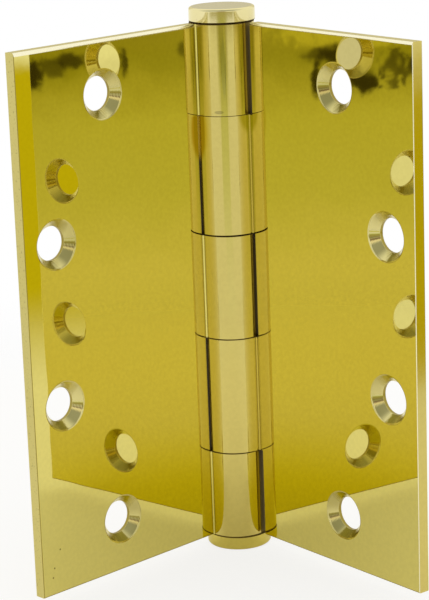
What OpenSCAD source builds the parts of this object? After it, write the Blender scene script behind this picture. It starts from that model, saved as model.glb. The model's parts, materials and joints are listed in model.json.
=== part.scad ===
// Full-mortise butt hinge: two brass leaves with interleaved knuckles that turn on a loose pin.
// Z runs along the pin. The origin is the middle of the frame leaf's back face, which lies in the
// plane Y = 0; that leaf's countersunk face looks towards -Y, and the barrel is on its +X side.

/* [Leaves] */
// Height of both leaves, along the pin
leaf_h = 114.3; // [104:0.1:140]
// Width of each leaf, from the pin's axis to its outer edge
leaf_w = 57.15; // [50:0.05:76]
// Thickness of the brass that the leaves and knuckles are rolled from
leaf_t = 2.7; // [2.3:0.1:3.6]
// Radius that buffing leaves along the outer edges
edge_r = 0.3; // [0.1:0.05:0.6]
// Gap between the two leaves when the hinge is closed
closed_gap = 1.8; // [1.0:0.1:3.0]
// Radius of the swage where a leaf's back runs into its knuckles
swage_r = 3; // [1:0.5:4]

/* [Knuckles] */
// Length of the first and the fifth knuckle
end_knuckle = 19.55; // [15:0.05:24]
// Length of the third knuckle
mid_knuckle = 23.1; // [18:0.1:30]
// Running gap between neighbouring knuckles
knuckle_gap = 0.25; // [0.1:0.05:0.5]
// Radius on the rims of the knuckles
rim_r = 0.25; // [0.1:0.05:0.5]
// Space between the door's knuckles and the frame leaf's notches
frame_notch = 0.3; // [0.3:0.1:2.0]
// Space between the first and fifth knuckles and the door leaf's corner notches
door_end_notch = 0.9; // [0.6:0.1:2.5]
// Space between the third knuckle and the door leaf's middle notch
door_mid_notch = 0.6; // [0.6:0.1:2.0]

/* [Screw holes] */
// Diameter of a hole's straight part
hole_d = 7.2; // [5:0.1:8]
// Diameter of the countersink at the leaf's face
head_d = 10.4; // [9.5:0.1:11.5]
// Full angle of the countersink
head_angle = 82; // [80:1:100]
// Distance from the outer edge to the outer pair of holes
outer_inset = 8.45; // [7:0.05:12]
// Step from the outer pair to the inner pair, towards the barrel
pair_step = 14.5; // [8:0.1:20]
// Distance between the two holes of the outer pair
outer_pitch = 34.2; // [24:0.1:44]
// Distance from the leaf's ends to the holes of the inner pair
end_inset = 11.25; // [8:0.05:14]

/* [Pin] */
// Diameter of the pin
pin_d = 8.7; // [7:0.1:10]
// Radial play of the pin in the knuckles
pin_play = 0.05; // [0.02:0.01:0.09]
// Height of the button on the pin
button_h = 3.0; // [2.2:0.1:5]
// Gap under the button
button_gap = 0.2; // [0.1:0.05:0.4]
// Diameter of the stub that the button is pressed on
stub_d = 5; // [3:0.1:6]
// Brass left over the stub's end
button_roof = 1.1; // [0.7:0.1:1.5]
// Chamfer on the pin's lower end
pin_chamfer = 1.0; // [0.3:0.1:2]

/* [Bottom tip] */
// Height of the tip below the barrel
tip_h = 3.0; // [2:0.1:5]
// Length of the spigot inside the fifth knuckle
spigot_l = 6; // [3:0.5:10]
// Wall of the hollow spigot
spigot_wall = 1.4; // [0.8:0.1:1.6]
// Diameter of the hole through which the pin is driven out
drift_d = 3.2; // [2:0.1:4]
// Radius on the free rims of the button and the tip
tip_r = 0.6; // [0.3:0.1:0.9]
// Radial interference of the pressed parts
press = 0.02; // [0.01:0.01:0.04]

/* [Pose] */
// Angle between the leaves
open_angle = 84.2; // [5:0.1:300]

/* [Hidden] */
$fn = 96;

// How far a cutter runs past the face that it cuts
over = 1;

bore_r = pin_d / 2 + pin_play;
barrel_r = bore_r + leaf_t;
// The faces of a leaf, measured behind the pin's axis
face_y = closed_gap / 2;
back_y = face_y + leaf_t;
// A leaf's plate starts inside the wall of its knuckles
root_x = (bore_r + barrel_r) / 2;
pin_x = leaf_w / 2;
pin_y = -back_y;

top_z = leaf_h / 2;
mid_z = mid_knuckle / 2;
end_z = top_z - end_knuckle;

sink_depth = (head_d - hole_d) / 2 / tan(head_angle / 2);
outer_x = leaf_w - outer_inset;
inner_x = outer_x - pair_step;
inner_z = top_z - end_inset;
outer_z = outer_pitch / 2;

// Each knuckle as its [lower, upper] end; half of every running gap comes off each side
half_gap = knuckle_gap / 2;
frame_knuckles = [
    [-top_z, -end_z - half_gap],
    [-mid_z + half_gap, mid_z - half_gap],
    [end_z + half_gap, top_z]
];
door_knuckles = [
    [-end_z + half_gap, -mid_z - half_gap],
    [mid_z + half_gap, end_z - half_gap]
];
// Each notch as its [lower end, upper end, space left outside the barrel]
frame_notches = [
    [-end_z - half_gap, -mid_z + half_gap, frame_notch],
    [mid_z - half_gap, end_z + half_gap, frame_notch]
];
door_notches = [
    [-top_z - over, -end_z + half_gap, door_end_notch],
    [-mid_z - half_gap, mid_z + half_gap, door_mid_notch],
    [end_z - half_gap, top_z + over, door_end_notch]
];

spigot_r = bore_r + press;
pin_foot = -top_z + spigot_l + pin_chamfer;
button_foot = top_z + button_gap;
stub_h = button_h - button_roof;

// A rectangle from [x0, y0] to [x1, y1] whose corners have the radius r
module rounded_rect(x0, y0, x1, y1, r) {
    translate([x0 + r, y0]) square([x1 - x0 - 2 * r, y1 - y0]);
    translate([x0, y0 + r]) square([x1 - x0, y1 - y0 - 2 * r]);
    for (x = [x0 + r, x1 - r], y = [y0 + r, y1 - r]) translate([x, y]) circle(r, $fn = 24);
}

// The flat of a leaf, from inside the barrel's wall to the outer edge
module plate() {
    intersection() {
        translate([0, 0, -top_z - over]) linear_extrude(leaf_h + 2 * over)
            rounded_rect(root_x - 2 * edge_r, -back_y, leaf_w, -face_y, edge_r);
        translate([root_x, 0, 0]) rotate([90, 0, 90]) linear_extrude(leaf_w)
            rounded_rect(-back_y, -top_z, -face_y, top_z, edge_r);
    }
}

// One knuckle, solid until the bore is cut, from z0 to z1
module knuckle(z0, z1) {
    rotate_extrude() intersection() {
        rounded_rect(-barrel_r, z0, barrel_r, z1, rim_r);
        translate([0, z0]) square([barrel_r, z1 - z0]);
    }
}

// The swage: the hollow curve from a leaf's back to the outside of a knuckle
module swage(z0, z1) {
    centre_y = back_y + swage_r;
    centre_x = sqrt(pow(barrel_r + swage_r, 2) - pow(centre_y, 2));
    translate([0, 0, z0 + rim_r]) linear_extrude(z1 - z0 - 2 * rim_r) difference() {
        polygon([[0, -face_y - leaf_t / 2], [centre_x, -face_y - leaf_t / 2], [centre_x, -back_y],
                 [centre_x, -centre_y], [0, 0]]);
        translate([centre_x, -centre_y]) circle(swage_r);
    }
}

// One countersunk screw hole through a leaf
module screw_hole(x, z) {
    translate([x, -face_y, z]) rotate([90, 0, 0]) {
        translate([0, 0, -over]) cylinder(d = hole_d, h = leaf_t + 2 * over);
        cylinder(d1 = head_d, d2 = hole_d, h = sink_depth);
        translate([0, 0, -over]) cylinder(d = head_d, h = over);
    }
}

// A leaf about the pin's axis, running towards +X with its countersunk face towards +Y
module leaf(knuckles, notches) {
    difference() {
        union() {
            plate();
            for (k = knuckles) {
                knuckle(k[0], k[1]);
                swage(k[0], k[1]);
            }
        }
        for (n = notches) {
            notch_x = barrel_r + n[2];
            translate([0, -back_y - over, n[0]]) cube([notch_x, leaf_t + 2 * over, n[1] - n[0]]);
        }
        translate([0, 0, -top_z - over]) cylinder(r = bore_r, h = leaf_h + 2 * over);
        for (side = [-1, 1]) {
            screw_hole(inner_x, side * inner_z);
            screw_hole(outer_x, side * outer_z);
        }
    }
}

module frame_leaf() {
    color([0.80, 0.66, 0.22]) translate([pin_x, pin_y, 0]) rotate(180)
        leaf(frame_knuckles, frame_notches);
}

module door_leaf() {
    color([0.76, 0.62, 0.18]) translate([pin_x, pin_y, 0]) rotate(open_angle) mirror([1, 0, 0])
        leaf(door_knuckles, door_notches);
}

module pin_shank() {
    pin_r = pin_d / 2;
    color([0.72, 0.73, 0.74]) translate([pin_x, pin_y, 0]) rotate_extrude() polygon([
        [0, pin_foot], [pin_r - pin_chamfer, pin_foot], [pin_r, pin_foot + pin_chamfer],
        [pin_r, button_foot], [stub_d / 2, button_foot], [stub_d / 2, button_foot + stub_h],
        [0, button_foot + stub_h]
    ]);
}

// A flat button as wide as the barrel: its seat is at z = 0, its free rim at z = h
module button_blank(h) {
    rotate_extrude() intersection() {
        union() {
            rounded_rect(-barrel_r, 0, barrel_r, h - tip_r, rim_r);
            rounded_rect(-barrel_r, rim_r, barrel_r, h, tip_r);
        }
        square([barrel_r, h]);
    }
}

module pin_button() {
    color([0.84, 0.74, 0.42]) translate([pin_x, pin_y, button_foot]) difference() {
        button_blank(button_h);
        translate([0, 0, -over]) cylinder(r = stub_d / 2 - press, h = stub_h + over);
    }
}

module bottom_tip() {
    color([0.80, 0.68, 0.30]) translate([pin_x, pin_y, -top_z]) difference() {
        union() {
            mirror([0, 0, 1]) button_blank(tip_h);
            cylinder(r = spigot_r, h = spigot_l);
        }
        translate([0, 0, -tip_h - over]) cylinder(d = drift_d, h = tip_h + 2 * over);
        cylinder(r = spigot_r - spigot_wall, h = spigot_l + over);
    }
}

frame_leaf();
door_leaf();
pin_shank();
pin_button();
bottom_tip();
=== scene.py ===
"""Full-mortise butt hinge in polished brass: its pieces, their finishes, the floor, light and camera."""

import json
import logging
import math
from collections.abc import Callable, Iterable, Sequence
from dataclasses import dataclass, field
from enum import Enum
from functools import partial

import bmesh
import bpy
from mathutils import Matrix, Vector
from mathutils.geometry import tessellate_polygon


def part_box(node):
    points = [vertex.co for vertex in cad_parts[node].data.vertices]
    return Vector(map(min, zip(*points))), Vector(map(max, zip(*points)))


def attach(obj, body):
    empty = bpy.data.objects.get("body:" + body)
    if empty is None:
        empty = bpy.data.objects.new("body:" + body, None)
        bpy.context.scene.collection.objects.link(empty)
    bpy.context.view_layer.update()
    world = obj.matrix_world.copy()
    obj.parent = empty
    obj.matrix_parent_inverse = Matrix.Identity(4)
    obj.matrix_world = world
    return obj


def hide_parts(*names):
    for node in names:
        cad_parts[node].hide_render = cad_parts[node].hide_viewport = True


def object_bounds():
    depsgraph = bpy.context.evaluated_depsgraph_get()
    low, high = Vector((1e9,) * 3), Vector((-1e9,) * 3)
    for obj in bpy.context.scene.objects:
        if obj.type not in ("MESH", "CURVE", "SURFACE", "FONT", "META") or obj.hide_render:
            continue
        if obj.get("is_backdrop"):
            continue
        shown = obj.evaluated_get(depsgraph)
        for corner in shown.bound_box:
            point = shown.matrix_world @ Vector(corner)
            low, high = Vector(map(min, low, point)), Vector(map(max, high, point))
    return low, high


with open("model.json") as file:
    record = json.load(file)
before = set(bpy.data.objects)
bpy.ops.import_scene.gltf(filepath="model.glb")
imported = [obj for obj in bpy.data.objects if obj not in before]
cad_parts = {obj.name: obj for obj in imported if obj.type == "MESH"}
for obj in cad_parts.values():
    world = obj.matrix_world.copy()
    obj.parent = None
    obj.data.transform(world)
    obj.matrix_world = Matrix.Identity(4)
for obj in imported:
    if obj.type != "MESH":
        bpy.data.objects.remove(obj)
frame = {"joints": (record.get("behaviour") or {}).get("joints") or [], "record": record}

LOG = logging.getLogger("hinge")
Triple = tuple[float, float, float]
Colour = Triple
MM = 0.001
WHITE = (1.0, 1.0, 1.0)
WELD = 1e-8  # metres; points closer together than this become one
CREASE = 30.0  # degrees; an edge sharper than this stays sharp
PINPOINT = 0.02 * MM  # the radius that is left open where a turned face meets its axis


def sine(elevation: float) -> float:
    """The sine of an elevation in degrees."""
    return math.sin(math.radians(elevation))


def darkened(colour: Colour, share: float) -> Colour:
    """A colour brought down to a share of its brightness."""
    return tuple(share * c for c in colour)


def around(steps: int) -> list[float]:
    """The angles of the steps of one full turn."""
    return [2 * math.pi * k / steps for k in range(steps)]


# ---------------------------------------------------------------- shader graphs


class Wire:
    """The output of a node, whose operators add Math nodes."""

    def __init__(self, graph: "Graph", socket: bpy.types.NodeSocket | None) -> None:
        """Wraps a socket of a graph.

        Args:
            graph: the graph that new nodes go into.
            socket: the output socket that is wrapped, or None where a node has no output.
        """
        self.graph = graph
        self.socket = socket

    def __add__(self, other: "Wire | float") -> "Wire":
        """The sum."""
        return self.graph.math("ADD", self, other)

    __radd__ = __add__

    def __sub__(self, other: "Wire | float") -> "Wire":
        """The difference."""
        return self.graph.math("SUBTRACT", self, other)

    def __rsub__(self, other: "Wire | float") -> "Wire":
        """The reflected difference."""
        return self.graph.math("SUBTRACT", other, self)

    def __mul__(self, other: "Wire | float") -> "Wire":
        """The product."""
        return self.graph.math("MULTIPLY", self, other)

    __rmul__ = __mul__

    def power(self, exponent: float) -> "Wire":
        """This value to a power."""
        return self.graph.math("POWER", self, exponent)

    def above(self, low: float, high: float) -> "Wire":
        """A smooth step.

        Args:
            low: the value up to which the step is 0.
            high: the value from which it is 1.

        Returns:
            The step, from 0 to 1.
        """
        settings = {"interpolation_type": "SMOOTHSTEP"}
        sockets = {"Value": self, "From Min": low, "From Max": high}
        return self.graph.node("ShaderNodeMapRange", settings, sockets)


class Graph:
    """The node tree of one material or of the world."""

    def __init__(self, tree: bpy.types.NodeTree) -> None:
        """Starts an empty tree."""
        tree.nodes.clear()
        self.tree = tree

    def node(self, kind: str, settings: dict | None = None, sockets: dict | None = None,
             out: str = "") -> Wire:
        """Adds one node.

        Args:
            kind: the node's type.
            settings: attributes that are set before the sockets; "stops" fills a colour ramp.
            sockets: values or wires for the inputs, by name or identifier.
            out: the name of the output that is wanted, or "" for the first.

        Returns:
            The chosen output.
        """
        made = self.tree.nodes.new(kind)
        for name, value in (settings or {}).items():
            if name == "stops":
                self._fill_ramp(made.color_ramp, value)
            else:
                setattr(made, name, value)
        inputs = {s.name: s for s in reversed(made.inputs)} | {s.identifier: s for s in made.inputs}
        for name, value in (sockets or {}).items():
            if isinstance(value, Wire):
                self.tree.links.new(value.socket, inputs[name])
            else:
                inputs[name].default_value = value
        outputs = {s.name: s for s in made.outputs} | {s.identifier: s for s in made.outputs}
        return Wire(self, outputs[out] if out else next(iter(made.outputs), None))

    @staticmethod
    def _fill_ramp(ramp: bpy.types.ColorRamp, stops: Sequence[tuple[float, Colour]]) -> None:
        """Gives a colour ramp its stops.

        Args:
            ramp: the ramp, with the two stops that a new one has.
            stops: each stop's place between 0 and 1, and its colour.
        """
        while len(ramp.elements) < len(stops):
            ramp.elements.new(1.0)
        for element, (place, colour) in zip(ramp.elements, stops):
            element.position = place
            element.color = (*colour, 1.0)

    def math(self, operation: str, a: Wire | float, b: Wire | float = 0.0) -> Wire:
        """Adds a Math node on two values."""
        return self.node("ShaderNodeMath", {"operation": operation}, {"Value": a, "Value_001": b})

    def vector(self, operation: str, a: Wire, b: Sequence[float], out: str = "Vector") -> Wire:
        """Adds a Vector Math node on a vector and a fixed one."""
        sockets = {"Vector": a, "Vector_001": b}
        return self.node("ShaderNodeVectorMath", {"operation": operation}, sockets, out)

    def dot(self, a: Wire, b: Sequence[float]) -> Wire:
        """The dot product of a vector and a fixed one."""
        return self.vector("DOT_PRODUCT", a, b, "Value")

    def distance(self, a: Wire, b: Sequence[float]) -> Wire:
        """The distance of a place from a fixed one."""
        return self.vector("DISTANCE", a, b, "Value")

    def height(self, a: Wire) -> Wire:
        """The Z of a vector."""
        return self.node("ShaderNodeSeparateXYZ", None, {"Vector": a}, "Z")

    def blend(self, amount: Wire | float, a: Wire | Colour, b: Wire | Colour) -> Wire:
        """Mixes two colours.

        Args:
            amount: 0 for the first colour, 1 for the second.
            a: the first colour.
            b: the second colour.

        Returns:
            The mixed colour.
        """
        full = {"A_Color": a, "B_Color": b}
        colours = {name: v if isinstance(v, Wire) else (*v, 1.0) for name, v in full.items()}
        sockets = {"Factor_Float": amount} | colours
        return self.node("ShaderNodeMix", {"data_type": "RGBA"}, sockets, "Result_Color")

    def ramp(self, value: Wire, stops: Sequence[tuple[float, Colour]]) -> Wire:
        """Colours a value between 0 and 1 by a row of stops."""
        return self.node("ShaderNodeValToRGB", {"stops": stops}, {"Fac": value}, "Color")

    def here(self) -> Wire:
        """The place on the surface, in metres."""
        return self.node("ShaderNodeTexCoord", out="Object")

    def cloudy(self, where: Wire, scale: float, detail: float) -> Wire:
        """Cloudy noise between 0 and 1, over a vector."""
        sockets = {"Vector": where, "Scale": scale, "Detail": detail}
        return self.node("ShaderNodeTexNoise", None, sockets, "Fac")

    def noise(self, per_metre: float, detail: float) -> Wire:
        """Cloudy noise on the surface, with so many blobs to the metre."""
        return self.cloudy(self.here(), per_metre, detail)

    def ray(self, out: str) -> Wire:
        """One output of Light Path."""
        return self.node("ShaderNodeLightPath", out=out)

    def bump(self, height: Wire, distance: float, under: Wire | None = None) -> Wire:
        """Turns a height between 0 and 1 into a normal.

        Args:
            height: the height.
            distance: what a height of 1 stands for, in metres.
            under: a normal that this one is laid over.

        Returns:
            The normal.
        """
        sockets: dict = {"Height": height, "Distance": distance, "Strength": 1.0}
        if under is not None:
            sockets["Normal"] = under
        return self.node("ShaderNodeBump", None, sockets, "Normal")


# ---------------------------------------------------------------- finishes


@dataclass(frozen=True)
class MarkOrShade:
    """A soft-edged mark: its middle, half sizes, colour, strength and the height where it stops."""

    place: Triple
    reach: Triple
    colour: Colour
    strength: float = 1.0
    ceiling: float = 1.0
    ceiling_fade: float = 0.2 * MM
    fade: tuple[float, float] = (0.7, 1.1)

    def laid(self, g: Graph, under: Wire) -> Wire:
        """Lays the mark over a colour.

        Args:
            g: the material's graph.
            under: the colour below it.

        Returns:
            The new colour.
        """
        here = g.vector("MULTIPLY", g.here(), tuple(1 / r for r in self.reach))
        away = g.distance(here, tuple(p / r for p, r in zip(self.place, self.reach)))
        height = g.height(g.here())
        below = 1.0 - height.above(self.ceiling - self.ceiling_fade, self.ceiling + self.ceiling_fade)
        return g.blend((1.0 - away.above(*self.fade)) * below * self.strength, under, self.colour)


@dataclass(frozen=True)
class Metal:
    """A metal surface: its tint, its polish, the marks in it and any light or shade painted into its colour.

    Wave, grain and speck_depth are heights in metres; cloud, mottle and specks say how strong each of
    them is; crevice is how far painted shade, darkest in corners, reaches out of them. The three shares of
    the roughness vary with the grain, vary with the clouds, and are the same everywhere.
    """

    name: str
    tint: Colour
    deep: Colour
    roughness: float
    rough_shares: Triple = (0.5, 0.3, 0.6)
    cloud: float = 0.25
    cloud_per_metre: float = 70.0
    patches: tuple[float, float] = (0.35, 0.65)
    wave: float = 0.0
    wave_per_metre: float = 90.0
    grain: float = 0.0
    grain_per_metre: float = 9000.0
    mottle: float = 0.0
    mottle_per_metre: float = 1100.0
    mottle_shade: float = 0.8
    specks: float = 0.0
    specks_per_metre: float = 900.0
    speck_limits: tuple[float, float] = (0.62, 0.74)
    speck_shade: float = 0.4
    speck_depth: float = 0.02 * MM
    crevice: float = 0.0
    crevice_samples: int = 8
    crevice_limits: tuple[float, float] = (0.32, 0.72)
    # the near-black brown that the painted shade in corners darkens the colour to
    crevice_shade: Colour = (0.030, 0.018, 0.002)
    metallic: float = 1.0
    specular: float = 0.5
    marks_and_shade: tuple[MarkOrShade, ...] = ()

    def material(self) -> bpy.types.Material:
        """Builds the material.

        Returns:
            A material with procedural colour, roughness and relief.
        """
        made = bpy.data.materials.new(self.name)
        made.use_nodes = True
        g = Graph(made.node_tree)
        clouds = g.noise(self.cloud_per_metre, 3.0)
        fine = g.noise(self.grain_per_metre, 3.0)
        colour = g.blend(clouds.above(*self.patches) * self.cloud, self.tint, self.deep)
        if self.mottle:
            spots = g.noise(self.mottle_per_metre, 3.0).above(*self.patches)
            colour = g.blend(spots * self.mottle, colour, darkened(self.deep, self.mottle_shade))
        grained, clouded, even = (self.roughness * share for share in self.rough_shares)
        rough = fine * grained + clouds * clouded + even
        normal = g.bump(g.noise(self.wave_per_metre, 1.0), self.wave)
        if self.grain:
            normal = g.bump(fine, self.grain, normal)
        if self.specks:
            dots = g.noise(self.specks_per_metre, 1.0).above(*self.speck_limits)
            colour = g.blend(dots * self.specks, colour, darkened(self.deep, self.speck_shade))
            normal = g.bump(1.0 - dots, self.specks * self.speck_depth, normal)
        # painted shade: ambient occlusion darkens the colour towards near-black brown in corners and narrow
        # gaps
        if self.crevice:
            settings, reach = {"samples": self.crevice_samples}, {"Distance": self.crevice}
            openness = g.node("ShaderNodeAmbientOcclusion", settings, reach, "AO")
            colour = g.blend(openness.above(*self.crevice_limits), self.crevice_shade, colour)
        for mark_or_shade in self.marks_and_shade:
            colour = mark_or_shade.laid(g, colour)
        shader = g.node("ShaderNodeBsdfPrincipled", None, {
            "Base Color": colour, "Metallic": self.metallic, "Roughness": rough, "Normal": normal,
            "Specular IOR Level": self.specular,
        })
        g.node("ShaderNodeOutputMaterial", None, {"Surface": shader})
        return made


class Region(Enum):
    """The differently finished surfaces of a piece; each value is a material slot's index."""

    FLAT = 0
    EDGE = 1
    BARREL = 2
    SINK = 3
    BORE = 4
    END = 5
    WALL = 6
    LIP = 7
    FLANK = 8


# ---------------------------------------------------------------- meshes

Station = tuple[float, float, Region]  # radius, height, and the region of the band that starts there


class Shell:
    """A mesh in the making: points in metres, faces, the region of each face, and which lie in a plane."""

    def __init__(self) -> None:
        """Starts an empty shell."""
        self.points: list[Vector] = []
        self.faces: list[tuple[int, ...]] = []
        self.regions: list[Region] = []
        self.plane: set[int] = set()

    def loop(self, points: Iterable[Sequence[float]]) -> list[int]:
        """Adds points.

        Args:
            points: the points, in order.

        Returns:
            Their indices.
        """
        start = len(self.points)
        self.points.extend(Vector(p) for p in points)
        return list(range(start, len(self.points)))

    def face(self, corners: Sequence[int], region: Region) -> None:
        """Adds one face."""
        self.faces.append(tuple(corners))
        self.regions.append(region)

    def bridge(self, a: Sequence[int], b: Sequence[int], region: Region) -> None:
        """Joins two closed loops of the same length with quads.

        Args:
            a: the first loop.
            b: the second loop.
            region: the region of the new faces.
        """
        for i in range(len(a)):
            j = (i + 1) % len(a)
            self.face((a[i], a[j], b[j], b[i]), region)

    def skin(self, loops: Sequence[Sequence[int]], regions: Sequence[Region]) -> None:
        """Joins each loop to the next."""
        for a, b, region in zip(loops, loops[1:], regions):
            self.bridge(a, b, region)

    def cap(self, loops: Sequence[Sequence[int]], region: Region) -> None:
        """Fills a flat outline, with its holes, with triangles.

        Args:
            loops: the outline first, then each hole.
            region: the region of the new faces.
        """
        first = len(self.faces)
        ids = [i for loop in loops for i in loop]
        for triangle in tessellate_polygon([[self.points[i] for i in loop] for loop in loops]):
            self.face([ids[t] for t in triangle], region)
        self.plane.update(range(first, len(self.faces)))

    def prism(self, section: Sequence[tuple[float, float]], low: float, high: float, region: Region) -> None:
        """Draws a section up from one height to another.

        Args:
            section: the section's corners.
            low: the lower height.
            high: the upper height.
            region: the region of the sides; the two ends are walls.
        """
        loops = [self.loop((x, y, z) for x, y in section) for z in (low, high)]
        self.bridge(loops[0], loops[1], region)
        for loop in loops:
            self.cap([loop], Region.WALL)

    def turned(self, outline: Sequence[Station], segments: int,
               shape: Callable[[float], float] = lambda angle: 1.0) -> None:
        """Turns a closed outline about the Z axis.

        Args:
            outline: the stations of the outline.
            segments: how many steps there are round the axis.
            shape: a factor on the radius for each angle.
        """
        loops = []
        for radius, height, _ in outline:
            ring = []
            for angle in around(segments):
                r = radius * shape(angle)
                ring.append((r * math.cos(angle), r * math.sin(angle), height))
            loops.append(self.loop(ring))
        self.skin([*loops, loops[0]], [region for _, _, region in outline])

    def piece(self, name: str, place: Matrix, finishes: Sequence[bpy.types.Material]) -> bpy.types.Object:
        """Makes the object.

        Args:
            name: the object's name.
            place: where the shell's own axes lie in the shared frame.
            finishes: one material for each region, in order.

        Returns:
            The object, with every face pointing outwards.
        """
        mesh = bpy.data.meshes.new(name)
        mesh.from_pydata([place @ p for p in self.points], [], self.faces)
        for material in finishes:
            mesh.materials.append(material)
        for polygon, region in zip(mesh.polygons, self.regions):
            polygon.material_index = region.value
            polygon.use_smooth = polygon.index not in self.plane
        mesh.update()
        made = bpy.data.objects.new(name, mesh)
        bpy.context.scene.collection.objects.link(made)
        turn_outwards(mesh)
        smooth = [polygon.use_smooth for polygon in mesh.polygons]
        mesh.set_sharp_from_angle(angle=math.radians(CREASE))
        mesh.polygons.foreach_set("use_smooth", smooth)
        part_planes(mesh)
        weighted = made.modifiers.new("flat faces stay flat", "WEIGHTED_NORMAL")
        weighted.keep_sharp = True
        weighted.weight = 100
        return made


def turn_outwards(mesh: bpy.types.Mesh) -> None:
    """Makes the faces of each closed shell in a mesh point outwards.

    Args:
        mesh: the mesh, which is changed in place.
    """
    work = bmesh.new()
    work.from_mesh(mesh)
    bmesh.ops.remove_doubles(work, verts=work.verts, dist=WELD)
    bmesh.ops.recalc_face_normals(work, faces=work.faces)
    work.to_mesh(mesh)
    work.free()


def part_planes(mesh: bpy.types.Mesh) -> None:
    """Makes the borders between flat-shaded and smooth faces sharp, so that flat ones stay true mirrors.

    Args:
        mesh: the mesh, which is changed in place.
    """
    kinds: dict[tuple[int, int], set[bool]] = {}
    for polygon in mesh.polygons:
        for key in polygon.edge_keys:
            kinds.setdefault(key, set()).add(polygon.use_smooth)
    for edge in mesh.edges:
        if len(kinds[edge.key]) > 1:
            edge.use_edge_sharp = True


def rounding(steps: int) -> list[tuple[float, float]]:
    """Points on a quarter circle from a flat to a side.

    Args:
        steps: how many steps the quarter has.

    Returns:
        For each point the share of the width still to go, and the share of the depth gone.
    """
    angles = (math.pi / 2 * k / steps for k in range(steps + 1))
    return [(1 - math.sin(a), 1 - math.cos(a)) for a in angles]


def turned_rim(radius: float, end: float, size: float, inwards: float, steps: int,
               region: Region) -> list[Station]:
    """The rounded rim between the end and the side of a turned piece.

    Args:
        radius: the radius of the side.
        end: the height of the end.
        size: the radius of the rounding.
        inwards: 1.0 at a lower end, -1.0 at an upper one.
        steps: how many steps the rounding has.
        region: the region of the rim.

    Returns:
        The stations, from the end to the side.
    """
    return [(radius - w * size, end + inwards * (d * size), region) for w, d in rounding(steps)]


def arc(centre: tuple[float, float], radius: float, start: float, sweep: float,
        steps: int) -> list[tuple[float, float]]:
    """Points along an arc.

    Args:
        centre: the arc's centre.
        radius: the arc's radius.
        start: the angle of its first point.
        sweep: the angle that it runs through.
        steps: how many steps it has.

    Returns:
        The points.
    """
    angles = (start + sweep * k / steps for k in range(steps + 1))
    return [(centre[0] + radius * math.cos(a), centre[1] + radius * math.sin(a)) for a in angles]


# ---------------------------------------------------------------- the hinge


@dataclass(frozen=True)
class Screw:
    """A countersunk hole's centre in a leaf, along the leaf and up the pin."""

    along: float
    up: float


@dataclass(frozen=True)
class Edge:
    """How one edge of a plate is finished: the roundings at its front and back, and their regions."""

    width: float
    depth: float
    rounded: Region = Region.EDGE
    side: Region = Region.END
    back_width: float = 0.3 * MM
    back_depth: float = 0.3 * MM

    @staticmethod
    def drawn_in(width: float, gone: float) -> float:
        """How far a rounding of some width is drawn in, where a share of its depth is gone."""
        return width * (1 - math.sqrt(1 - (1 - gone) ** 2))

    def inset(self, down: float, thickness: float) -> float:
        """How far the edge lies inside the plate's outline.

        Args:
            down: the distance below the plate's face.
            thickness: the plate's thickness.

        Returns:
            The distance from the outline.
        """
        up = thickness - down
        if down < self.depth:
            return self.drawn_in(self.width, down / self.depth)
        if up < self.back_depth:
            return self.drawn_in(self.back_width, up / self.back_depth)
        return 0.0

    def region(self, down: float) -> Region:
        """The region at a distance below the plate's face."""
        return self.rounded if down < self.depth else self.side


@dataclass(frozen=True)
class Corner:
    """A corner of a plate, and the edge that starts there and runs anticlockwise."""

    along: float
    up: float
    edge: Edge


@dataclass(frozen=True)
class Notch:
    """A notch round a knuckle of the other leaf: its upper end, and how far from the pin it is cut back."""

    high: float
    along: float


@dataclass(frozen=True)
class Knuckle:
    """One knuckle: its ends up the pin, the rims there, and how far out of round it was rolled."""

    low: float
    high: float
    lean: float = 0.0
    rim_low: float = 0.09 * MM
    rim_high: float = 0.09 * MM
    oval: float = 0.04

    def rolled(self, crown: float, angle: float) -> float:
        """How the knuckle was rolled: round at the root, and flatter on both sides of its crown.

        Args:
            crown: the angle of the crown.
            angle: the angle that is asked for.

        Returns:
            The share of the barrel's radius at that angle.
        """
        away = math.sin(angle - crown) ** 2
        front = max(0.0, math.sin(angle)) ** 0.5
        return 1.0 - self.oval * away * front


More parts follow.
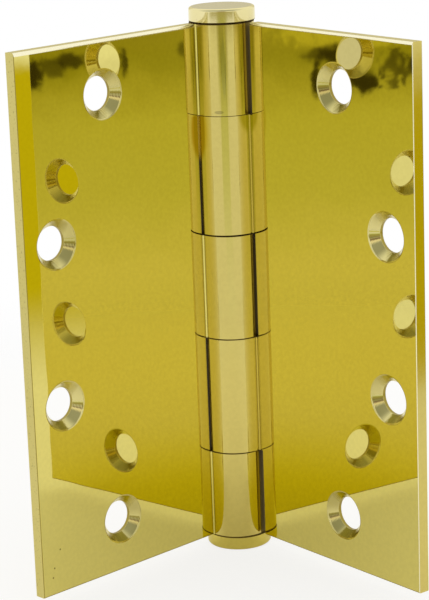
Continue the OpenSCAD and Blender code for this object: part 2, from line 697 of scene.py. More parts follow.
@dataclass
class Leaf:
    """One leaf: a plate with countersunk holes, and the knuckles rolled from it.

    Its own X runs from the pin's axis to the outer edge, +Y is the countersunk side, and Z is the pin.
    Crown is the angle in degrees at which a knuckle keeps its full radius; each one leans a bit from it.
    """

    name: str
    node: str
    body: str
    place: Matrix
    crown: float
    knuckles: list[Knuckle]
    notches: list[Notch]
    screws: Sequence[Screw]
    top_edge: Edge
    outer_edge: Edge
    # the bottom, notch and left outer edges take the dark bored finish; at the notches it is painted shade of
    # the gap
    bottom_edge: Edge = Edge(0.25 * MM, 0.25 * MM, Region.BORE)
    root_edge: Edge = Edge(0.2 * MM, 0.2 * MM, Region.FLAT, Region.WALL)
    notch_edge: Edge = Edge(0.10 * MM, 0.10 * MM, Region.BORE, Region.BORE)
    # The plate.
    height: float = 114.3 * MM
    width: float = 57.15 * MM
    thickness: float = 2.7 * MM
    face: float = 0.9 * MM
    front_reach: float = 1.3 * MM
    front_steps: int = 12
    front_ease: float = 2.2
    back_reach: float = 0.9 * MM
    back_steps: int = 7
    back_ease: float = 2.0
    # The knuckles, with the rims of their ends and of the bore.
    bore: float = 4.4 * MM
    bevel: float = 0.2 * MM
    rim_steps: int = 4
    seam: float = 0.05 * MM
    # the turns, in degrees, of the strip of each barrel that is finished dull and painted dark as the gap's
    # shade
    flank: tuple[float, float] = (90.0, 112.0)
    segments: int = 192
    # The lip in front of each knuckle: its radius, how far it stops short of the knuckle's ends, how far
    # its crest, back and foot lie behind the seam, and the heights of crest and back as shares of the radius.
    lip: float = 0.20 * MM
    lip_short: float = 0.05 * MM
    lip_steps: int = 8
    lip_behind: Triple = (0.05 * MM, 0.25 * MM, 0.5 * MM)
    lip_heights: tuple[float, float] = (1.35, 1.3)
    # The swaged web behind each knuckle: the radius of its hollow, how deep it is set into the barrel's
    # wall and under the plate's face, as shares of the thickness, its inner corner, as shares of the
    # radius there, and how far it stays off the plate's back.
    swage: float = 3.0 * MM
    web_steps: int = 12
    web_inside: float = 0.4
    web_under: float = 0.3
    web_corner: tuple[float, float] = (0.80, 0.60)
    web_clear: float = 0.01 * MM
    # The countersunk holes: their radii and cone, the rim and the foot of the cone, and the marks that
    # the cutter left.
    head: float = 5.2 * MM
    hole: float = 3.6 * MM
    head_angle: float = 82.0
    sink_rim: float = 0.16 * MM
    sink_rim_share: float = 0.6
    sink_foot: float = 0.05 * MM
    hole_rim: float = 0.15 * MM
    hole_rim_steps: int = 3
    turns: int = 96
    ridge: float = 0.010 * MM
    ridge_pitch: float = 0.23 * MM
    cuts_per_ridge: int = 5
    chatter: float = 0.6
    chatter_waves: int = 23
    drift: float = 3.0
    drift_waves: int = 2

    @property
    def barrel(self) -> float:
        """The barrel's radius."""
        return self.bore + self.thickness

    @property
    def back(self) -> float:
        """How far behind the axis the leaf's back lies."""
        return self.face + self.thickness

    @property
    def root(self) -> float:
        """Where the plate's face meets the knuckles."""
        return self.barrel + self.seam

    def outline(self) -> list[Corner]:
        """Goes round the plate.

        Returns:
            The plate's corners, anticlockwise from the lower end of its root.
        """
        top = self.height / 2
        zones = [(k.high, self.root, self.root_edge) for k in self.knuckles]
        zones += [(notch.high, notch.along, self.notch_edge) for notch in self.notches]
        zones.sort(key=lambda zone: zone[0], reverse=True)
        corners = [Corner(zones[-1][1], -top, self.bottom_edge), Corner(self.width, -top, self.outer_edge),
                   Corner(self.width, top, self.top_edge), Corner(zones[0][1], top, zones[0][2])]
        for (_, upper_x, _), (high, lower_x, edge) in zip(zones, zones[1:]):
            corners.append(Corner(upper_x, high, self.notch_edge))
            corners.append(Corner(lower_x, high, edge))
        return corners

    def depths(self) -> list[float]:
        """Where the plate's outline is drawn, closest together at its face and its back.

        Returns:
            The depths below the plate's face.
        """
        front = [(k / self.front_steps) ** self.front_ease for k in range(self.front_steps + 1)]
        back = [(k / self.back_steps) ** self.back_ease for k in range(self.back_steps, -1, -1)]
        return [self.front_reach * f for f in front] + [self.thickness - self.back_reach * b for b in back]

    def inset(self, corners: Sequence[Corner], down: float) -> list[Triple]:
        """The outline at one depth, drawn in by the rounding of each edge.

        Args:
            corners: the plate's corners.
            down: the depth below the plate's face.

        Returns:
            The points of the loop.
        """
        loop = []
        for k, corner in enumerate(corners):
            before, after = corners[k - 1], corners[(k + 1) % len(corners)]
            old = Vector((corner.along - before.along, corner.up - before.up)).normalized()
            new = Vector((after.along - corner.along, after.up - corner.up)).normalized()
            shift = Vector((-old.y, old.x)) * before.edge.inset(down, self.thickness)
            shift += Vector((-new.y, new.x)) * corner.edge.inset(down, self.thickness)
            loop.append((corner.along + shift.x, -self.face - down, corner.up + shift.y))
        return loop

    def plate(self, shell: Shell) -> None:
        """Adds the plate with its rounded edges and its holes.

        Args:
            shell: the shell that is being made.
        """
        corners, depths = self.outline(), self.depths()
        loops = [shell.loop(self.inset(corners, down)) for down in depths]
        for upper, lower, start, end in zip(loops, loops[1:], depths, depths[1:]):
            for k, corner in enumerate(corners):
                j = (k + 1) % len(corners)
                region = corner.edge.region((start + end) / 2)
                shell.face((upper[k], upper[j], lower[j], lower[k]), region)
        holes = [self.countersink(shell, screw) for screw in self.screws]
        shell.cap([loops[0], *[h[0] for h in holes]], Region.FLAT)
        shell.cap([loops[-1], *[h[-1] for h in holes]], Region.FLAT)

    def countersink(self, shell: Shell, screw: Screw) -> list[list[int]]:
        """Adds one countersunk hole, with the ridges that its cutter left.

        Args:
            shell: the shell that is being made.
            screw: the hole's centre.

        Returns:
            The loops from the front of the leaf to its back.
        """
        slope = math.tan(math.radians(self.head_angle / 2))
        sink = (self.head - self.hole) / slope
        rim, hollow = self.sink_rim, self.sink_rim * self.sink_rim_share
        front = rounding(self.hole_rim_steps)
        stations = [(self.head + w * rim, d * rim * self.sink_rim_share, 0.0) for w, d in front]
        count = round(sink / self.ridge_pitch) * self.cuts_per_ridge
        for k in range(1, count + 1):
            down = hollow + (sink - hollow) * k / count
            stations.append((self.head - down * slope, down, 1.0 if k < count else 0.0))
        stations.append((self.hole, sink + self.sink_foot, 0.0))
        stations.append((self.hole, self.thickness - self.hole_rim, 0.0))
        for w, d in reversed(rounding(self.hole_rim_steps)):
            stations.append((self.hole + w * self.hole_rim, self.thickness - d * self.hole_rim, 0.0))
        loops = [shell.loop(self.ring(screw, *station)) for station in stations]
        cone = len(front) + count
        shell.skin(loops, [Region.SINK if k < cone else Region.BORE for k in range(len(loops) - 1)])
        return loops

    def ring(self, screw: Screw, radius: float, down: float, tooled: float) -> list[Triple]:
        """One ring of points in a countersunk hole.

        Args:
            screw: the hole's centre.
            radius: the ring's radius.
            down: how far below the countersunk face it lies.
            tooled: 1 where the cutter left ridges, 0 where it left none.

        Returns:
            The ring's points.
        """
        ring = []
        for angle in around(self.turns):
            wave = math.sin(2 * math.pi * down / self.ridge_pitch + angle)
            phase = self.chatter_waves * angle + self.drift * math.sin(self.drift_waves * angle)
            chatter = self.chatter * math.sin(phase) * (down / self.thickness) ** 2
            r = radius + tooled * self.ridge * (wave + chatter)
            across, up = r * math.cos(angle), r * math.sin(angle)
            ring.append((screw.along + across, -self.face - down, screw.up + up))
        return ring

    def knuckle(self, shell: Shell, knuckle: Knuckle) -> None:
        """Adds one knuckle: its curl round the pin, the web behind it and the lip in front of it.

        Args:
            shell: the shell that is being made.
            knuckle: the knuckle's ends and shape.
        """
        low, high, wide = knuckle.low, knuckle.high, self.bore + self.bevel
        # the rims at each end take the near-black wall finish, painted shade of the joint
        lower = turned_rim(self.barrel, low, knuckle.rim_low, 1.0, self.rim_steps, Region.WALL)
        lower[-1] = (*lower[-1][:2], Region.BARREL)
        upper = turned_rim(self.barrel, high, knuckle.rim_high, -1.0, self.rim_steps, Region.WALL)
        bore = [(wide, high, Region.BORE), (self.bore, high - self.bevel, Region.BORE),
                (self.bore, low + self.bevel, Region.BORE), (wide, low, Region.WALL)]
        crown = math.radians(self.crown + knuckle.lean)
        first = len(shell.faces)
        shell.turned([*lower, *reversed(upper), *bore], self.segments, partial(knuckle.rolled, crown))
        self.mark_flank(shell, first)
        self.web(shell, low + knuckle.rim_low, high - knuckle.rim_high)
        self.curl_lip(shell, low + self.lip_short, high - self.lip_short)

    def mark_flank(self, shell: Shell, first: int) -> None:
        """Gives the strip of a barrel beside the other leaf's notch a region of its own, whose dull brass
        carries painted shade of the gap.

        Args:
            shell: the shell that is being made.
            first: the first face of the barrel, which is the last thing made so far.
        """
        for k in range(first, len(shell.faces)):
            middle = sum((shell.points[i] for i in shell.faces[k]), Vector()) / len(shell.faces[k])
            turn = math.degrees(math.atan2(middle.y, middle.x))
            if shell.regions[k] is Region.BARREL and self.flank[0] < turn < self.flank[1]:
                shell.regions[k] = Region.FLANK

    def curl_lip(self, shell: Shell, low: float, high: float) -> None:
        """Adds the small ramp that runs from the plate's face up to a knuckle's seam.

        Args:
            shell: the shell that is being made.
            low: the lip's lower end.
            high: the lip's upper end.
        """
        r, face = self.lip, -self.face
        curve = arc((self.root + r, face + r), r, -math.pi / 2, -math.pi / 2, self.lip_steps)
        (crest, back, foot), (crest_height, back_height) = self.lip_behind, self.lip_heights
        section = [*curve, (self.root - crest, face + crest_height * r),
                   (self.root - back, face + back_height * r), (self.root - foot, face - r),
                   (self.root + r, face - r)]
        shell.prism(section, low, high, Region.LIP)

    def web(self, shell: Shell, low: float, high: float) -> None:
        """Adds the swaged web between a knuckle and the plate's back.

        Args:
            shell: the shell that is being made.
            low: the web's lower end.
            high: the web's upper end.
        """
        drop = self.back + self.swage
        reach = math.sqrt((self.barrel + self.swage) ** 2 - drop**2)
        tangent = math.atan2(drop, -reach)
        curve = arc((reach, -drop), self.swage, math.pi / 2, tangent - math.pi / 2, self.web_steps)
        inner = self.bore + self.web_inside * self.thickness
        top = -self.face - self.web_under * self.thickness
        outer = self.root + self.thickness / 2
        across, down = self.web_corner
        section = [*curve, (inner * across, -inner * down), (inner, top), (outer, top),
                   (outer, -self.back + self.web_clear)]
        shell.prism(section, low, high, Region.BARREL)

    def build(self, finishes: Sequence[bpy.types.Material]) -> bpy.types.Object:
        """Builds the leaf, sets it on its body and puts it in its node's place.

        Args:
            finishes: one material for each region.

        Returns:
            The leaf.
        """
        shell = Shell()
        self.plate(shell)
        for knuckle in self.knuckles:
            self.knuckle(shell, knuckle)
        made = shell.piece(self.name, self.place, finishes)
        settle(made, self.body, self.node)
        return made


@dataclass
class Tip:
    """A flat button as wide as the barrel, which closes one end of it.

    It has a closed socket for the pin's stub, or a hole right through it and a hollow spigot below.
    """

    name: str
    node: str
    body: str
    axis: Vector
    seat: float
    upwards: bool
    radius: float = 7.1 * MM
    height: float = 3.0 * MM
    seat_rim: float = 0.16 * MM
    seat_rim_steps: int = 4
    free_rim: float = 0.6 * MM
    free_rim_steps: int = 6
    rings: tuple[float, ...] = (0.85, 0.6, 0.35, 0.12)
    socket: float = 2.48 * MM
    socket_depth: float = 1.9 * MM
    hole_rim: float = 0.15 * MM
    spigot: float = 0.0
    spigot_bore: float = 0.0
    spigot_radius: float = 4.42 * MM
    spigot_end: float = 4.1 * MM
    spigot_straight: float = 5.7 * MM
    segments: int = 192

    def outline(self) -> list[Station]:
        """The turned outline, from the seat over the free end and through the middle back to the seat.

        Returns:
            The stations of the outline.
        """
        # the rim at the seat takes the near-black wall finish, painted shade of the joint
        lower = turned_rim(self.radius, 0.0, self.seat_rim, 1.0, self.seat_rim_steps, Region.WALL)
        lower[-1] = (*lower[-1][:2], Region.BARREL)
        upper = turned_rim(self.radius, self.height, self.free_rim, -1.0, self.free_rim_steps, Region.BARREL)
        upper[0] = (*upper[0][:2], Region.FLAT)
        return [*lower, *reversed(upper), *(self.through() if self.spigot else self.closed())]

    def through(self) -> list[Station]:
        """The hole right through the tip, and the hollow spigot.

        Returns:
            The stations from the hole's rim down the hole and up the outside of the spigot.
        """
        bored, hole = Region.BORE, self.socket
        return [
            (hole + self.hole_rim, self.height, Region.BARREL), (hole, self.height - self.hole_rim, bored),
            (hole, 0.0, bored), (self.spigot_bore, 0.0, bored), (self.spigot_bore, -self.spigot, bored),
            (self.spigot_end, -self.spigot, bored), (self.spigot_radius, -self.spigot_straight, bored),
            (self.spigot_radius, 0.0, bored),
        ]

    def closed(self) -> list[Station]:
        """The flat top, and the socket under it.

        Returns:
            The stations from the top's rim to its middle and out of the socket.
        """
        rings = [(self.radius * share, self.height, Region.FLAT) for share in self.rings]
        return [*rings, (PINPOINT, self.height, Region.FLAT), (PINPOINT, self.socket_depth, Region.BORE),
                (self.socket, self.socket_depth, Region.BORE), (self.socket, 0.0, Region.FLAT)]

    def build(self, finishes: Sequence[bpy.types.Material]) -> bpy.types.Object:
        """Builds the tip, sets it on its body and puts it in its node's place.

        Args:
            finishes: one material for each region.

        Returns:
            The tip.
        """
        shell = Shell()
        shell.turned(self.outline(), self.segments)
        flip = Matrix.Identity(4) if self.upwards else Matrix.Rotation(math.pi, 4, "X")
        place = Matrix.Translation(Vector((self.axis.x, self.axis.y, self.seat))) @ flip
        made = shell.piece(self.name, place, finishes)
        settle(made, self.body, self.node)
        return made


@dataclass
class Pin:
    """The steel pin, chamfered at its foot, with the stub that the button is pressed on."""

    name: str
    node: str
    body: str
    axis: Vector
    foot: float
    shoulder: float
    end: float
    radius: float = 4.35 * MM
    chamfer: float = 1.0 * MM
    stub: float = 2.5 * MM
    segments: int = 128

    def build(self, finishes: Sequence[bpy.types.Material]) -> bpy.types.Object:
        """Builds the pin, sets it on its body and puts it in its node's place.

        Args:
            finishes: one material for each region.

        Returns:
            The pin.
        """
        outline = [
            (PINPOINT, self.foot), (self.radius - self.chamfer, self.foot),
            (self.radius, self.foot + self.chamfer), (self.radius, self.shoulder),
            (self.stub, self.shoulder), (self.stub, self.end), (PINPOINT, self.end),
        ]
        shell = Shell()
        shell.turned([(radius, height, Region.FLAT) for radius, height in outline], self.segments)
        made = shell.piece(self.name, Matrix.Translation(Vector((self.axis.x, self.axis.y, 0.0))), finishes)
        settle(made, self.body, self.node)
        return made


def settle(piece: bpy.types.Object, body: str, node: str) -> None:
    """Rides a piece on its body, in the place of its node.

    Args:
        piece: the finished piece.
        body: the body that it moves with.
        node: the node that it stands for.
    """
    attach(piece, body)
    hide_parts(node)
    LOG.info("%s: %d faces on %s, for %s", piece.name, len(piece.data.polygons), body, node)


@dataclass
class Hinge:
    """The whole hinge: where its knuckles meet, its holes and edges, its finishes and its pieces.

    The left leaf is screwed to the frame and has knuckles 1, 3 and 5, counted from the top; the right
    leaf is screwed to the door and has knuckles 2 and 4. Knuckle 3 reaches to mid above and below the
    middle. Each gap is half of a joint between two knuckles, from the top joint down.
    """

    axis: Vector
    open_angle: float
    top: float
    end_knuckle: float = 19.55 * MM
    mid: float = 11.55 * MM
    gaps: tuple[float, ...] = (0.025 * MM, 0.10 * MM, 0.05 * MM, 0.06 * MM)
    seat_rim: float = 0.15 * MM
    tight_rim: float = 0.05 * MM
    left_crown: float = 45.5
    right_crown: float = 39.7
    right_lip: float = 0.16 * MM
    left_notch: float = 7.4 * MM
    right_notches: Triple = (8.0 * MM, 7.7 * MM, 8.0 * MM)
    screws: tuple[Screw, ...] = (
        Screw(34.2 * MM, 45.9 * MM),
        Screw(48.7 * MM, 17.1 * MM),
        Screw(48.7 * MM, -17.1 * MM),
        Screw(34.2 * MM, -45.9 * MM),
    )
    left_top: Edge = Edge(0.78 * MM, 0.35 * MM)
    left_outer: Edge = Edge(0.12 * MM, 0.10 * MM, Region.BORE)
    right_top: Edge = Edge(0.6 * MM, 0.3 * MM)
    right_outer: Edge = Edge(0.14 * MM, 0.14 * MM, Region.EDGE, Region.BARREL, 0.2 * MM, 0.3 * MM)
    drift_hole: float = 1.6 * MM
    spigot: float = 6.0 * MM
    spigot_bore: float = 3.02 * MM

    @property
    def end(self) -> float:
        """Where knuckles 1 and 2 meet; 4 and 5 meet as far below the middle."""
        return self.top - self.end_knuckle

    def marks(self) -> tuple[MarkOrShade, ...]:
        """Marks on the knuckles, some of them painted reflection and shade.

        Returns:
            A brown patch at the top of knuckle 2, a dark patch at the foot of knuckle 1, an olive patch at
            the top of knuckle 2, and a streak up knuckle 1; the brown and olive patches are painted
            reflection and shade of the gap there.
        """
        brown, drab = (0.62, 0.475, 0.06), (0.22, 0.19, 0.07)
        olive, tan = (0.45, 0.38, 0.025), (0.42, 0.39, 0.20)
        return (
            # painted reflection and shade: a brown patch where the gap at the top of knuckle 2 is seen
            MarkOrShade((21.4 * MM, -2.7 * MM, 34.3 * MM), (2.5 * MM, 2.5 * MM, 6.6 * MM), brown, 1.0, self.end),
            MarkOrShade((22.7 * MM, -7.7 * MM, 38.5 * MM), (1.1 * MM, 1.1 * MM, 0.4 * MM), drab, 0.5),
            # painted reflection: an olive patch at the top of knuckle 2
            MarkOrShade((28.8 * MM, -10.7 * MM, 38.4 * MM), (3.0 * MM, 3.0 * MM, 5.0 * MM), olive, 0.95, self.end),
            MarkOrShade((23.6 * MM, -8.6 * MM, 48.0 * MM), (0.55 * MM, 0.55 * MM, 7.0 * MM), tan, 0.45),
        )

    def pits(self) -> tuple[MarkOrShade, ...]:
        """Three small pits in the left leaf, near its lower outer corner.

        Returns:
            The pits.
        """
        places = ((-23.6 * MM, -47.6 * MM), (-25.4 * MM, -51.3 * MM), (-25.9 * MM, -53.3 * MM))
        return tuple(MarkOrShade((x, -2.7 * MM, z), (0.22 * MM,) * 3, (0.16, 0.11, 0.01), 0.8) for x, z in places)

    def dress(self) -> dict[str, list[bpy.types.Material]]:
        """Makes the materials.

        Returns:
            For each piece its materials, in the order of the regions.
        """
        marks = self.marks()
        flat = Metal("polished_brass", (0.790, 0.700, 0.212), (0.770, 0.674, 0.194), 0.014, wave=0.000014,
                     grain=0.00000004, mottle=0.16, marks_and_shade=(*self.pits(), marks[0]))
        # buffed rounding with a painted highlight: the pale tint stands in for light caught along the edges
        buffed_highlight = Metal("buffed_edge", (0.97, 0.92, 0.66), (0.93, 0.86, 0.55), 0.16, grain=0.000002)
        # rolled brass on the barrels, darkened in crevices as painted shade
        rolled = Metal("rolled_brass", (0.685, 0.575, 0.172), (0.665, 0.550, 0.160), 0.07, wave=0.00002,
                       mottle=0.16, crevice=2.2 * MM, marks_and_shade=marks)
        cut = Metal("countersunk_brass", (0.74, 0.66, 0.28), (0.55, 0.48, 0.16), 0.07, cloud=0.8)
        # partly the rougher bored finish, partly painted shade: half as bright as the polished brass, in
        # bores, holes and notches
        bored = Metal("bored_brass", (0.38, 0.30, 0.06), (0.25, 0.18, 0.03), 0.3, marks_and_shade=(marks[0],))
        sheared = Metal("sheared_end", (0.66, 0.575, 0.20), (0.60, 0.51, 0.15), 0.30, grain=0.00001,
                        specks=0.5, specks_per_metre=2600.0)
        # painted shade: the rims and ends where knuckles, tips, lips and webs meet are near black, as the
        # shade in the joints
        dark = Metal("unbuffed_wall", (0.110, 0.070, 0.010), (0.060, 0.038, 0.006), 0.8, metallic=0.0,
                     specular=0.15)
        # partly dull unbuffed brass, mostly painted shade: the barrel's strip that looks into the gap is near
        # black
        flank = Metal("unbuffed_flank", (0.24, 0.18, 0.035), (0.17, 0.12, 0.02), 0.4, crevice=5.0 * MM,
                      marks_and_shade=marks)
        # painted shade: the right leaf's lip is a darker copy of the brass, where the left leaf's lip keeps
        # the polished one
        lip_shade = Metal("rubbed_seam", (0.60, 0.47, 0.09), (0.52, 0.40, 0.06), 0.12)
        # the button's faced top, partly its rough faced finish, partly painted light from above in its pale
        # cool tint
        faced_toplit = Metal("faced_tip", (0.62, 0.55, 0.34), (0.57, 0.49, 0.27), 0.22, grain=0.000002)
        # the button's turned side, pale as a painted highlight
        turned = Metal("turned_tip", (0.835, 0.75, 0.39), (0.77, 0.67, 0.28), 0.10, grain=0.000001)
        drawn = Metal("drawn_tip", (0.72, 0.605, 0.135), (0.70, 0.585, 0.125), 0.02, grain=0.00000004,
                      mottle=0.16)
        steel = Metal("ground_steel", (0.60, 0.60, 0.61), (0.50, 0.50, 0.51), 0.22, grain=0.000002)
        brasses = (flat, buffed_highlight, rolled, cut, bored, sheared, dark, flank, lip_shade, faced_toplit, turned, drawn)
        made = {metal.name: metal.material() for metal in (*brasses, steel)}
        plain = (cut, bored, sheared, dark)
        chosen = {
            "left_leaf": (flat, buffed_highlight, rolled, *plain, flat, flank),
            "right_leaf": (flat, buffed_highlight, rolled, *plain, lip_shade, flank),
            "top_button": (faced_toplit, buffed_highlight, turned, *plain),
            "bottom_button": (rolled, buffed_highlight, drawn, *plain),
            "steel_pin": (steel,),
        }
        return {piece: [made[metal.name] for metal in metals] for piece, metals in chosen.items()}

    def leaf_place(self, angle: float, mirrored: bool) -> Matrix:
        """Where a leaf's own axes lie.

        Args:
            angle: the leaf's turn about the pin, in degrees.
            mirrored: whether the leaf is the other one's mirror image.

        Returns:
            The matrix from the leaf's axes to the shared frame.
        """
        turn = Matrix.Rotation(math.radians(angle), 4, "Z")
        if mirrored:
            turn = turn @ Matrix.Scale(-1.0, 4, Vector((1.0, 0.0, 0.0)))
        return Matrix.Translation(Vector((self.axis.x, self.axis.y, 0.0))) @ turn

    def left_leaf(self) -> Leaf:
        """Lays out the leaf on the frame.

        Returns:
            The leaf, not yet built.
        """
        gaps, end, mid = self.gaps, self.end, self.mid
        return Leaf(
            "left_leaf", "frame_leaf", "frame_side", self.leaf_place(180.0, False), self.left_crown,
            [Knuckle(-self.top, -end - gaps[3], -40.0, rim_low=self.seat_rim),
             Knuckle(-mid + gaps[2], mid - gaps[1], 8.0),
             Knuckle(end + gaps[0], self.top, -12.0, self.tight_rim, self.seat_rim)],
            [Notch(-mid + gaps[2], self.left_notch), Notch(end + gaps[0], self.left_notch)],
            self.screws, self.left_top, self.left_outer,
        )

    def right_leaf(self) -> Leaf:
        """Lays out the leaf on the door.

        Returns:
            The leaf, not yet built.
        """
        gaps, end, mid = self.gaps, self.end, self.mid
        ends = (-end + gaps[3], mid + gaps[1], self.top)
        return Leaf(
            "right_leaf", "door_leaf", "door_side", self.leaf_place(self.open_angle, True), self.right_crown,
            [Knuckle(-end + gaps[3], -mid - gaps[2], 25.0),
             Knuckle(mid + gaps[1], end - gaps[0], 40.0, rim_high=self.tight_rim)],
            [Notch(high, along) for high, along in zip(ends, self.right_notches)],
            self.screws, self.right_top, self.right_outer, lip=self.right_lip,
        )

    def build(self) -> list[bpy.types.Object]:
        """Builds the leaves, the two tips and the pin.

        Returns:
            The pieces.
        """
        finishes = self.dress()
        button_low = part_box("pin_button")[0].z
        shank_low, shank_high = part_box("pin_shank")
        parts = (
            self.left_leaf(),
            self.right_leaf(),
            Tip("top_button", "pin_button", "pin", self.axis, button_low, True),
            Tip("bottom_button", "bottom_tip", "frame_side", self.axis, -self.top, False,
                socket=self.drift_hole, spigot=self.spigot, spigot_bore=self.spigot_bore),
            Pin("steel_pin", "pin_shank", "pin", self.axis, shank_low.z, button_low, shank_high.z),
        )
        return [part.build(finishes[part.name]) for part in parts]


# ---------------------------------------------------------------- floor, light and camera


@dataclass(frozen=True)
class Card:
    """A soft dim card far outside the view, which shows only as a reflection.

    Angles are in degrees. The card is at full strength over its core, a share of its reach; slant allows
    for directions that aren't level.
    """

    azimuth: float
    reach: float
    low: float
    high: float
    colour: Colour
    soft: float = 0.004
    core: float = 0.6
    slant: float = 0.97

    def cover(self, g: Graph, way: Wire, level: Wire) -> Wire:
        """How far the card covers the surroundings in a direction.

        Args:
            g: the world's graph.
            way: the direction.
            level: the direction's height, as the sine of its elevation.

        Returns:
            A value between 0 and 1.
        """
        a = math.radians(self.azimuth)
        across = g.dot(way, (math.cos(a), math.sin(a), 0.0))
        inner, outer = math.cos(math.radians(self.reach * self.core)), math.cos(math.radians(self.reach))
        low, high, soft = sine(self.low), sine(self.high), self.soft
        window = level.above(low - 2 * soft, low + 2 * soft) * (1.0 - level.above(high - soft, high + soft))
        return across.above(outer * self.slant, inner * self.slant) * window


@dataclass(frozen=True)
class Smudge:
    """A small dark ragged shape far outside the view, which shows only in a double reflection.

    Angles are in degrees; wide and tall are its half sizes. It fades out between two shares of those, and
    ahead keeps it from showing a second time on the opposite side.
    """

    azimuth: float
    elevation: float
    wide: float
    tall: float
    strength: float = 1.0
    colour: Colour = (0.055, 0.050, 0.020)
    broken: float = 1.6
    ahead: tuple[float, float] = (0.5, 0.6)
    fade: tuple[float, float] = (0.55, 1.15)

    def cover(self, g: Graph, way: Wire, height: Wire, ragged: Wire) -> Wire:
        """How far the shape covers the surroundings in a direction.

        Args:
            g: the world's graph.
            way: the direction.
            height: the direction's height, as the sine of its elevation.
            ragged: fine noise about 0 that roughens the outline.

        Returns:
            A value between 0 and 1.
        """
        a = math.radians(self.azimuth)
        across = g.dot(way, (-math.sin(a), math.cos(a), 0.0)) * (1 / math.radians(self.wide))
        up = (height - sine(self.elevation)) * (1 / math.radians(self.tall))
        ahead = g.dot(way, (math.cos(a), math.sin(a), 0.0)).above(*self.ahead)
        away = (across * across + up * up).power(0.5) + ragged * self.broken
        return (1.0 - away.above(*self.fade)) * ahead * self.strength


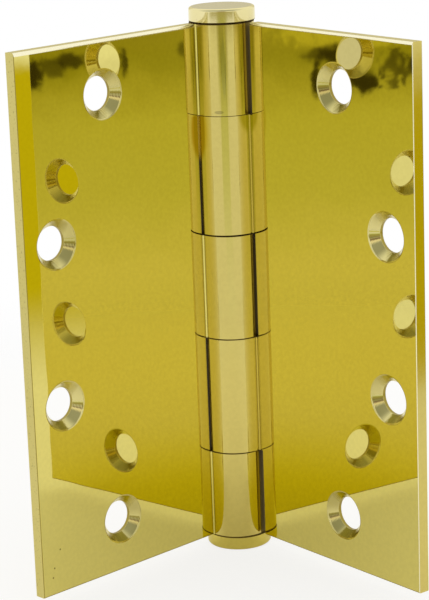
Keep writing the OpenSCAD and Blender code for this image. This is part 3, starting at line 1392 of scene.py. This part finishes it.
@dataclass
class Studio:
    """The pale floor, the soft light and the camera.

    The brass shows the surroundings by direction: a row of tones by elevation on the side where the
    camera stands, another on the open side, and cards and smudges laid over both. A pair of numbers named
    limits, near or below is where a soft step starts and ends. Angles are in degrees.
    """

    floor_z: float
    centre: Vector
    floor_radius: float = 0.26
    floor_steps: int = 96
    floor_fade: float = 0.12
    floor_rim: float = 0.98
    floor_colour: Colour = (0.95, 0.94, 0.92)
    floor_tone: float = 0.3
    floor_shade: float = 0.98
    floor_per_metre: float = 40.0
    floor_glow: float = 0.78
    mirrored_glow: float = 0.13
    # painted light: the yellow that rays which have bounced twice see on the floor near the pin, as if lit by
    # the brass
    twice_seen: Colour = (0.97, 0.94, 0.10)
    twice_limits: tuple[float, float] = (1.2, 1.8)
    twice_near: tuple[float, float] = (0.035, 0.095)
    unevenness: float = 0.012
    ripples: float = 95.0
    rags: float = 330.0
    light: Colour = (1.0, 0.98, 0.91)
    lowest: float = -22.0
    highest: float = 40.0
    open_side: tuple[tuple[float, Colour], ...] = (
        (-22.0, (0.90, 0.89, 0.87)),
        (-8.3, (0.90, 0.89, 0.87)),
        (-7.9, (1.0, 1.0, 1.0)),
        (40.0, (1.0, 1.0, 1.0)),
    )
    camera_side: tuple[tuple[float, Colour], ...] = (
        (-21.6, (0.85, 0.84, 0.80)),
        (-20.6, (0.56, 0.50, 0.01)),
        (-19.5, (0.62, 0.575, 0.025)),
        (-18.6, (0.745, 0.735, 0.19)),
        (-17.2, (0.84, 0.825, 0.59)),
        (-15.5, (0.90, 0.90, 0.86)),
        (-13.4, (0.90, 0.90, 0.90)),
        (-11.6, (0.76, 0.79, 0.55)),
        (-9.7, (0.72, 0.75, 0.42)),
        (-8.8, (0.58, 0.59, 0.22)),
        (-8.2, (0.42, 0.43, 0.08)),
        (-7.8, (0.42, 0.42, 0.08)),
        (-5.0, (0.40, 0.36, 0.18)),
        (-1.5, (0.12, 0.10, 0.06)),
        (1.5, (0.12, 0.10, 0.06)),
        (4.0, (0.42, 0.40, 0.28)),
        (8.5, (0.40, 0.36, 0.25)),
        (10.0, (0.16, 0.08, 0.05)),
        (13.5, (0.16, 0.08, 0.05)),
        (15.0, (1.0, 0.90, 0.76)),
        (23.0, (1.0, 0.90, 0.76)),
        (26.0, (0.42, 0.43, 0.40)),
    )
    narrow_limits: tuple[float, float] = (0.92, 0.995)
    wide_limits: tuple[float, float] = (0.970, 0.984)
    wide_below: tuple[float, float] = (-9.7, -8.8)
    cards: tuple[Card, ...] = (
        Card(-50.0, 34.0, -16.5, -8.9, (0.62, 0.53, 0.010), 0.002),
        Card(-10.0, 20.0, -20.0, -8.2, (0.25, 0.18, 0.02)),
        Card(-135.5, 50.0, -7.2, 1.0, (0.43, 0.39, 0.17), 0.001),
        Card(-140.0, 100.0, 25.0, 80.0, (0.42, 0.43, 0.40)),
        Card(45.0, 40.0, 1.0, 27.0, (0.76, 0.72, 0.54)),
    )
    smudges: tuple[Smudge, ...] = (
        Smudge(-127.0, -7.62, 2.6, 0.42, 0.85, (0.76, 0.76, 0.25)),
        Smudge(-126.25, -8.14, 0.52, 0.26),
        Smudge(-125.70, -8.10, 0.32, 0.20, 0.75),
        Smudge(-125.72, -8.72, 0.17, 0.62),
        Smudge(-126.90, -8.80, 0.55, 0.30),
        Smudge(-127.85, -8.58, 0.50, 0.42, 0.8, broken=4.0),
        Smudge(-128.33, -8.40, 0.15, 0.24),
        Smudge(-50.6, -8.75, 1.3, 0.78, 1.0, (0.62, 0.53, 0.010), 0.3),
        Smudge(-141.55, -8.38, 0.34, 0.46),
        Smudge(-142.10, -8.16, 0.42, 0.25, 0.75),
        Smudge(-142.65, -8.01, 0.46, 0.20, 0.9),
        Smudge(126.9, -8.0, 1.2, 0.9, 1.0, (0.74, 0.72, 0.88), 0.2),
        Smudge(-143.97, -8.14, 0.20, 0.46, 0.85),
        Smudge(-145.61, -7.93, 0.13, 0.24, 0.75),
    )
    camera_place: Vector = field(default_factory=lambda: Vector((-0.3075, -0.3403, 0.1172)))
    heading: float = 44.497
    pitch: float = -14.319
    roll: float = -2.089
    lens: float = 134.02
    clip: tuple[float, float] = (0.01, 20.0)

    def floor(self) -> bpy.types.Object:
        """Makes the floor, a pale disc that fades into the white surroundings.

        Returns:
            The floor, which isn't part of the hinge.
        """
        shell = Shell()
        rim = shell.loop((self.floor_radius * math.cos(a), self.floor_radius * math.sin(a), 0.0)
                         for a in around(self.floor_steps))
        shell.cap([rim], Region.FLAT)
        place = Vector((self.centre.x, self.centre.y, self.floor_z))
        piece = shell.piece("floor", Matrix.Translation(place), [self.floor_material(place)])
        piece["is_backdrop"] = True
        return piece

    def floor_material(self, place: Vector) -> bpy.types.Material:
        """Makes the floor's material: pale, white to the camera, clear at the rim, and near the pin a painted
        yellow glow of light from the brass for rays that have bounced twice.

        Args:
            place: the middle of the floor, under the pin.

        Returns:
            The material.
        """
        made = bpy.data.materials.new("pale_floor")
        made.use_nodes = True
        g = Graph(made.node_tree)
        tone = g.noise(self.floor_per_metre, 2.0) * self.floor_tone
        colour = g.blend(tone, self.floor_colour, darkened(self.floor_colour, self.floor_shade))
        spot = g.distance(g.here(), place)
        # painted light: near the pin, rays on their second bounce or later see the floor glow yellow
        twice = g.ray("Ray Depth").above(*self.twice_limits) * (1.0 - spot.above(*self.twice_near))
        pale = g.node("ShaderNodeBsdfDiffuse", None, {"Color": g.blend(twice, colour, self.twice_seen)})
        glow = {"Color": g.blend(twice, WHITE, self.twice_seen), "Strength": 1.0}
        white = g.node("ShaderNodeEmission", None, glow)
        direct = g.ray("Is Camera Ray") + g.ray("Is Transmission Ray")
        share = direct * self.floor_glow + g.ray("Is Glossy Ray") * self.mirrored_glow
        lit = g.node("ShaderNodeMixShader", None, {"Fac": share, "Shader": pale, "Shader_001": white})
        gone = g.node("ShaderNodeBsdfTransparent")
        faded = spot.above(self.floor_fade, self.floor_radius * self.floor_rim)
        shader = g.node("ShaderNodeMixShader", None, {"Fac": faded, "Shader": lit, "Shader_001": gone})
        g.node("ShaderNodeOutputMaterial", None, {"Surface": shader})
        return made

    def tones(self, g: Graph, level: Wire) -> list[Wire]:
        """Colours the surroundings by elevation.

        Args:
            g: the world's graph.
            level: the direction's height, as the sine of its elevation.

        Returns:
            The colour on the open side, and the colour on the camera's side.
        """
        lowest = sine(self.lowest)
        span = sine(self.highest) - lowest
        share = (level - lowest) * (1 / span)
        sides = []
        for rows in (self.open_side, self.camera_side):
            stops = [((sine(elevation) - lowest) / span, colour) for elevation, colour in rows]
            sides.append(g.ramp(share, stops))
        return sides

    def facing(self, g: Graph, way: Wire, level: Wire) -> Wire:
        """How far a direction points to the side where the camera stands.

        Args:
            g: the world's graph.
            way: the direction.
            level: the direction's height, as the sine of its elevation.

        Returns:
            A value between 0 and 1.
        """
        line = (self.camera_place - self.centre).to_2d().normalized()
        heading = g.vector("NORMALIZE", g.vector("MULTIPLY", way, (1.0, 1.0, 0.0)), (0.0, 0.0, 0.0))
        ahead = g.dot(heading, (line.x, line.y, 0.0))
        narrow, wide = ahead.above(*self.narrow_limits), ahead.above(*self.wide_limits)
        low, high = self.wide_below
        return wide + (narrow - wide) * level.above(sine(low), sine(high))

    def world(self) -> None:
        """Makes the surroundings: white to the camera, white with soft dim cards in the brass."""
        world = bpy.data.worlds.new("studio")
        bpy.context.scene.world = world
        world.use_nodes = True
        g = Graph(world.node_tree)
        way = g.node("ShaderNodeTexCoord", out="Generated")
        height = g.height(way)
        level = height + (g.cloudy(way, self.ripples, 3.0) - 0.5) * self.unevenness
        ragged = g.cloudy(way, self.rags, 3.0) - 0.5
        open_side, camera_side = self.tones(g, level)
        colour = g.blend(self.facing(g, way, level), open_side, camera_side)
        for card in self.cards:
            colour = g.blend(card.cover(g, way, level), colour, card.colour)
        for smudge in self.smudges:
            colour = g.blend(smudge.cover(g, way, height, ragged), colour, smudge.colour)
        colour = g.blend(g.ray("Is Diffuse Ray"), colour, self.light)
        colour = g.blend(g.ray("Is Camera Ray") + g.ray("Is Transmission Ray"), colour, WHITE)
        shader = g.node("ShaderNodeBackground", None, {"Color": colour, "Strength": 1.0})
        g.node("ShaderNodeOutputWorld", None, {"Surface": shader})

    def camera(self) -> None:
        """Makes the camera at the viewing angle."""
        data = bpy.data.cameras.new("camera")
        data.lens = self.lens
        data.clip_start, data.clip_end = self.clip
        made = bpy.data.objects.new("camera", data)
        yaw, pitch, roll = (math.radians(a) for a in (self.heading, self.pitch, self.roll))
        ahead = Vector((math.sin(yaw) * math.cos(pitch), math.cos(yaw) * math.cos(pitch), math.sin(pitch)))
        side = Vector((math.cos(yaw), -math.sin(yaw), 0.0))
        over = side.cross(ahead)
        right = side * math.cos(roll) + over * math.sin(roll)
        top = over * math.cos(roll) - side * math.sin(roll)
        turn = Matrix((right, top, -ahead)).transposed().to_4x4()
        made.matrix_world = Matrix.Translation(self.camera_place) @ turn
        bpy.context.scene.collection.objects.link(made)
        bpy.context.scene.camera = made

    def build(self) -> None:
        """Builds the whole studio."""
        self.floor()
        self.world()
        self.camera()
        bpy.context.scene.view_settings.view_transform = "Standard"


def main() -> None:
    """Builds the hinge and its studio, with the floor at the lowest point of the CAD."""
    logging.basicConfig(level=logging.INFO, format="%(name)s: %(message)s")
    cad_low, cad_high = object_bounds()
    axis = Vector(frame["joints"][0]["pos_m"])
    mounts = {mount["name"]: mount for mount in frame["record"]["mounts"]}
    outwards = mounts["door_leaf_back"]["axis"]
    open_angle = math.degrees(math.atan2(outwards[0], -outwards[1]))
    pieces = Hinge(axis, open_angle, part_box("frame_leaf")[1].z).build()
    LOG.info("%d pieces", len(pieces))

    Studio(cad_low.z, axis).build()


if __name__ == "__main__":
    main()
